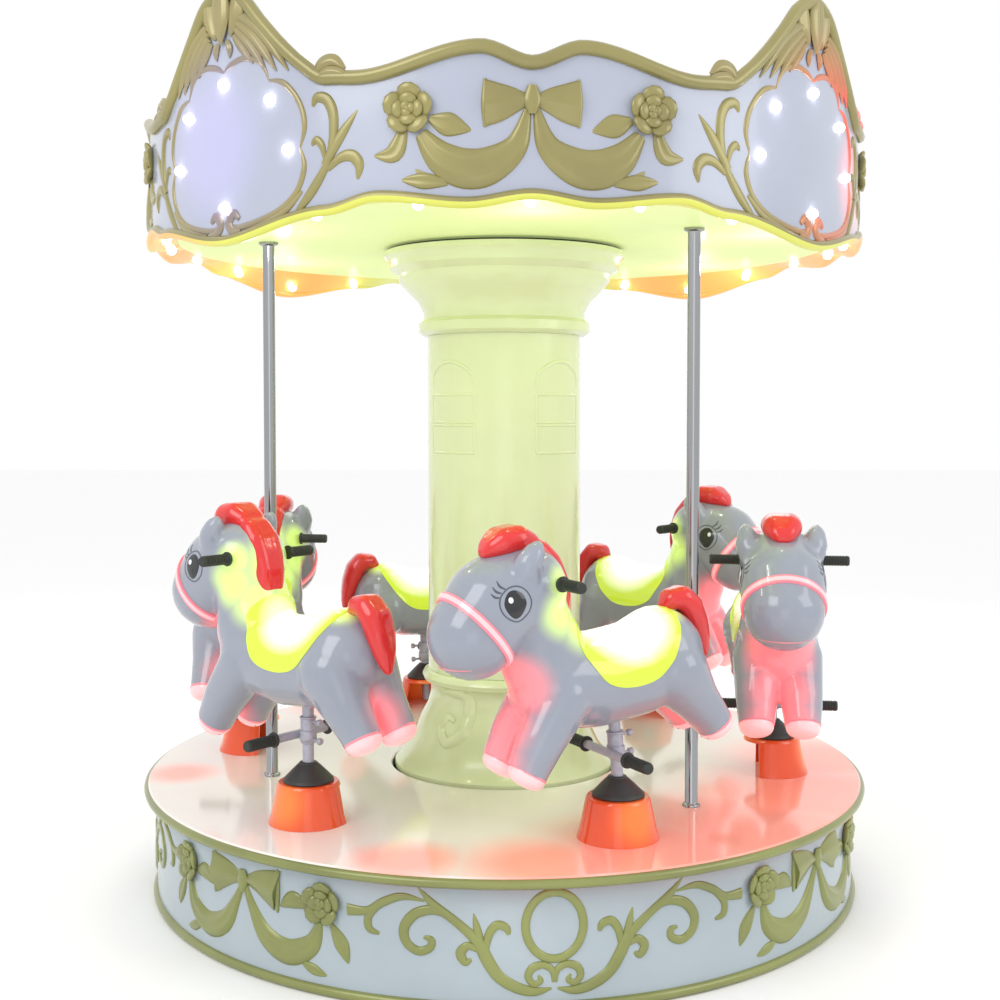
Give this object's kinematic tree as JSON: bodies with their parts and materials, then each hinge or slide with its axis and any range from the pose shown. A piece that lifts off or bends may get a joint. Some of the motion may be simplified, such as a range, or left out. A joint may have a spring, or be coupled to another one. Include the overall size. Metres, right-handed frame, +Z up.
{
  "type": "six-horse children's carousel",
  "caption": "Small turning carousel: round ornamented base and crown, centre column, chrome poles and moulded ponies that rise and fall on posts.",
  "frame": {"origin": "centre of the base on the ground", "axes": "+Z up along the turning axis, front towards -Y, deck circle in X and Y"},
  "size_m": [2.3, 2.3, 2.61],
  "materials": {
    "skirt_paint": "glossy moulded fibreglass",
    "crown_paint": "glossy moulded fibreglass",
    "ornament_gold": "old-gold lacquer on the mouldings",
    "column_paint": "glossy moulded fibreglass",
    "ceiling_paint": "glossy moulded fibreglass",
    "roof_paint": "plain moulded fibreglass",
    "deck_paint": "glossy moulded fibreglass",
    "frame_steel": "painted steel sections",
    "pole_chrome": "polished chrome tube",
    "post_steel": "grey painted tube",
    "hood_orange": "glossy moulded plastic",
    "boot_rubber": "black rubber",
    "grip_rubber": "ribbed black rubber",
    "horse_white": "glossy rotational moulding",
    "hair_red": "glossy moulded plastic",
    "saddle_lamp": "translucent moulding lit from inside",
    "strap_lamp": "translucent moulding lit from inside",
    "eye_print": "printed eye",
    "bulb": "frosted lamp cap"
  },
  "bodies": {
    "base": {"base_skirt": "skirt_paint", "base_frame": "frame_steel", "column_foot": "column_paint", "column_shaft": "column_paint", "column_capital": "column_paint"},
    "platform": {"deck": "deck_paint", "turntable": "frame_steel", "pole_1": "pole_chrome", "pole_2": "pole_chrome", "pole_3": "pole_chrome", "hood_1": "hood_orange", "hood_2": "hood_orange", "hood_3": "hood_orange", "hood_4": "hood_orange", "hood_5": "hood_orange", "hood_6": "hood_orange", "boot_1": "boot_rubber", "boot_2": "boot_rubber", "boot_3": "boot_rubber", "boot_4": "boot_rubber", "boot_5": "boot_rubber", "boot_6": "boot_rubber", "canopy_ceiling": "ceiling_paint", "canopy_roof": "roof_paint", "crown_panel_1": "crown_paint", "crown_panel_2": "crown_paint", "crown_panel_3": "crown_paint", "crown_panel_4": "crown_paint", "crown_medallion_1": "crown_paint", "crown_medallion_2": "crown_paint", "crown_medallion_3": "crown_paint", "crown_medallion_4": "crown_paint"},
    "horse_1": {"horse_1_body": "horse_white", "horse_1_saddle": "saddle_lamp", "horse_1_stand": "post_steel", "horse_1_handlebar": "grip_rubber"},
    "horse_2": {"horse_2_body": "horse_white", "horse_2_saddle": "saddle_lamp", "horse_2_stand": "post_steel", "horse_2_handlebar": "grip_rubber"},
    "horse_3": {"horse_3_body": "horse_white", "horse_3_saddle": "saddle_lamp", "horse_3_stand": "post_steel", "horse_3_handlebar": "grip_rubber"},
    "horse_4": {"horse_4_body": "horse_white", "horse_4_saddle": "saddle_lamp", "horse_4_stand": "post_steel", "horse_4_handlebar": "grip_rubber"},
    "horse_5": {"horse_5_body": "horse_white", "horse_5_saddle": "saddle_lamp", "horse_5_stand": "post_steel", "horse_5_handlebar": "grip_rubber"},
    "horse_6": {"horse_6_body": "horse_white", "horse_6_saddle": "saddle_lamp", "horse_6_stand": "post_steel", "horse_6_handlebar": "grip_rubber"}
  },
  "joints": [
    {"name": "platform_turn", "type": "hinge", "parent": "base", "child": "platform", "pos_m": [0, 0, 0.25], "axis": [0, 0, 1], "continuous": true},
    {"name": "horse_1_rise", "type": "slide", "parent": "platform", "child": "horse_1", "axis": [-0.0612, -0.0336, 0.9976], "range_m": [-0.045, 0.055]},
    {"name": "horse_2_rise", "type": "slide", "parent": "platform", "child": "horse_2", "axis": [-0.0066, -0.0519, 0.9986], "range_m": [-0.03, 0.07]},
    {"name": "horse_3_rise", "type": "slide", "parent": "platform", "child": "horse_3", "axis": [-0.0266, 0.0225, 0.9994], "range_m": [-0.035, 0.065]},
    {"name": "horse_4_rise", "type": "slide", "parent": "platform", "child": "horse_4", "axis": [-0.0334, -0.0101, 0.9994], "range_m": [-0.005, 0.095]},
    {"name": "horse_5_rise", "type": "slide", "parent": "platform", "child": "horse_5", "axis": [0.0019, 0.0173, 0.9998], "range_m": [-0.02, 0.08]},
    {"name": "horse_6_rise", "type": "slide", "parent": "platform", "child": "horse_6", "axis": [0, 0, 1], "range_m": [-0.05, 0.05]}
  ]
}
